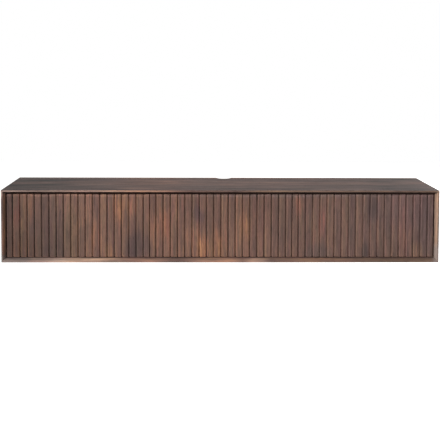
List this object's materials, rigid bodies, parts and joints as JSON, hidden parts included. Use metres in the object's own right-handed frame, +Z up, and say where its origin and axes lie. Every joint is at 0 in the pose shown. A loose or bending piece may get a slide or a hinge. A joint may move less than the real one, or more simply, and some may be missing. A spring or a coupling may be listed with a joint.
{
  "type": "tv unit",
  "caption": "Wall-hung low media cabinet in dark stained wood: mitred case with bevelled front edges, ribbed drop-down fronts on concealed flap hinges and stays, half-round cable notch.",
  "frame": {"origin": "middle of the underside's outline, so the unit stands or hangs from z = 0", "axes": "+X to the right as seen from the front, +Y to the wall, +Z up"},
  "size_m": [1.8, 0.4, 0.298],
  "materials": {
    "stained_wood_case": "walnut-stained solid wood under satin lacquer",
    "stained_wood_front": "walnut-stained solid wood, milled, under satin lacquer",
    "back_board": "stained veneered board, matt",
    "rail_wood": "planed softwood, untreated",
    "joinery_beech": "planed beech",
    "nickel_steel": "nickel-plated pressed steel",
    "bright_steel": "ground bright steel",
    "zinc_steel": "zinc-plated steel",
    "latch_plastic": "moulded plastic, fine texture",
    "stay_plastic": "moulded plastic, fine texture",
    "plunger_plastic": "moulded plastic, smooth"
  },
  "bodies": {
    "cabinet": {"top_panel": "stained_wood_case", "bottom_panel": "stained_wood_case", "left_side_panel": "stained_wood_case", "right_side_panel": "stained_wood_case", "left_divider": "stained_wood_case", "right_divider": "stained_wood_case", "left_back_panel": "back_board", "middle_back_panel": "back_board", "right_back_panel": "back_board", "left_hanging_rail": "rail_wood", "right_hanging_rail": "rail_wood", "mitre_splines": "joinery_beech", "divider_tenons": "joinery_beech", "left_hinge_bases": "nickel_steel", "left_stay_plate": "nickel_steel", "left_latch_housing": "latch_plastic", "middle_hinge_bases": "nickel_steel", "middle_stay_plate": "nickel_steel", "middle_latch_housing": "latch_plastic", "right_hinge_bases": "nickel_steel", "right_stay_plate": "nickel_steel", "right_latch_housing": "latch_plastic"},
    "left_front": {"left_front": "stained_wood_front", "left_hinge_leaves": "nickel_steel", "left_hinge_pins": "bright_steel", "left_stay_bracket": "nickel_steel", "left_strike_plate": "zinc_steel"},
    "left_stay_bar": {"left_stay_bar": "bright_steel"},
    "left_stay_housing": {"left_stay_housing": "stay_plastic"},
    "left_latch_plunger": {"left_latch_plunger": "plunger_plastic"},
    "middle_front": {"middle_front": "stained_wood_front", "middle_hinge_leaves": "nickel_steel", "middle_hinge_pins": "bright_steel", "middle_stay_bracket": "nickel_steel", "middle_strike_plate": "zinc_steel"},
    "middle_stay_bar": {"middle_stay_bar": "bright_steel"},
    "middle_stay_housing": {"middle_stay_housing": "stay_plastic"},
    "middle_latch_plunger": {"middle_latch_plunger": "plunger_plastic"},
    "right_front": {"right_front": "stained_wood_front", "right_hinge_leaves": "nickel_steel", "right_hinge_pins": "bright_steel", "right_stay_bracket": "nickel_steel", "right_strike_plate": "zinc_steel"},
    "right_stay_bar": {"right_stay_bar": "bright_steel"},
    "right_stay_housing": {"right_stay_housing": "stay_plastic"},
    "right_latch_plunger": {"right_latch_plunger": "plunger_plastic"}
  },
  "joints": [
    {"name": "left_front_hinge", "type": "hinge", "parent": "cabinet", "child": "left_front", "pos_m": [-0.58833, -0.167, 0.043], "axis": [1, 0, 0], "range_deg": [0, 90]},
    {"name": "left_stay_bar_hinge", "type": "hinge", "parent": "left_front", "child": "left_stay_bar", "pos_m": [-0.871, -0.142, 0.159], "axis": [1, 0, 0], "range_deg": [-45, 0]},
    {"name": "left_stay_housing_swivel", "type": "hinge", "parent": "cabinet", "child": "left_stay_housing", "pos_m": [-0.871, -0.11099, 0.14761], "axis": [1, 0, 0], "range_deg": [0, 45]},
    {"name": "left_latch_plunger_slide", "type": "slide", "parent": "cabinet", "child": "left_latch_plunger", "axis": [0, -1, 0], "range_m": [0, 0.02]},
    {"name": "middle_front_hinge", "type": "hinge", "parent": "cabinet", "child": "middle_front", "pos_m": [0, -0.167, 0.043], "axis": [1, 0, 0], "range_deg": [0, 90]},
    {"name": "middle_stay_bar_hinge", "type": "hinge", "parent": "middle_front", "child": "middle_stay_bar", "pos_m": [-0.27317, -0.142, 0.159], "axis": [1, 0, 0], "range_deg": [-45, 0]},
    {"name": "middle_stay_housing_swivel", "type": "hinge", "parent": "cabinet", "child": "middle_stay_housing", "pos_m": [-0.27317, -0.11099, 0.14761], "axis": [1, 0, 0], "range_deg": [0, 45]},
    {"name": "middle_latch_plunger_slide", "type": "slide", "parent": "cabinet", "child": "middle_latch_plunger", "axis": [0, -1, 0], "range_m": [0, 0.02]},
    {"name": "right_front_hinge", "type": "hinge", "parent": "cabinet", "child": "right_front", "pos_m": [0.58833, -0.167, 0.043], "axis": [1, 0, 0], "range_deg": [0, 90]},
    {"name": "right_stay_bar_hinge", "type": "hinge", "parent": "right_front", "child": "right_stay_bar", "pos_m": [0.871, -0.142, 0.159], "axis": [1, 0, 0], "range_deg": [-45, 0]},
    {"name": "right_stay_housing_swivel", "type": "hinge", "parent": "cabinet", "child": "right_stay_housing", "pos_m": [0.871, -0.11099, 0.14761], "axis": [1, 0, 0], "range_deg": [0, 45]},
    {"name": "right_latch_plunger_slide", "type": "slide", "parent": "cabinet", "child": "right_latch_plunger", "axis": [0, -1, 0], "range_m": [0, 0.02]}
  ],
  "couplings": [
    {"joint": "left_stay_bar_hinge", "follows": "left_front_hinge", "ratio": -0.5},
    {"joint": "left_stay_housing_swivel", "follows": "left_front_hinge", "ratio": 0.5},
    {"joint": "left_latch_plunger_slide", "follows": "left_front_hinge", "m_per_rad": 0.0127},
    {"joint": "middle_stay_bar_hinge", "follows": "middle_front_hinge", "ratio": -0.5},
    {"joint": "middle_stay_housing_swivel", "follows": "middle_front_hinge", "ratio": 0.5},
    {"joint": "middle_latch_plunger_slide", "follows": "middle_front_hinge", "m_per_rad": 0.0127},
    {"joint": "right_stay_bar_hinge", "follows": "right_front_hinge", "ratio": -0.5},
    {"joint": "right_stay_housing_swivel", "follows": "right_front_hinge", "ratio": 0.5},
    {"joint": "right_latch_plunger_slide", "follows": "right_front_hinge", "m_per_rad": 0.0127}
  ]
}
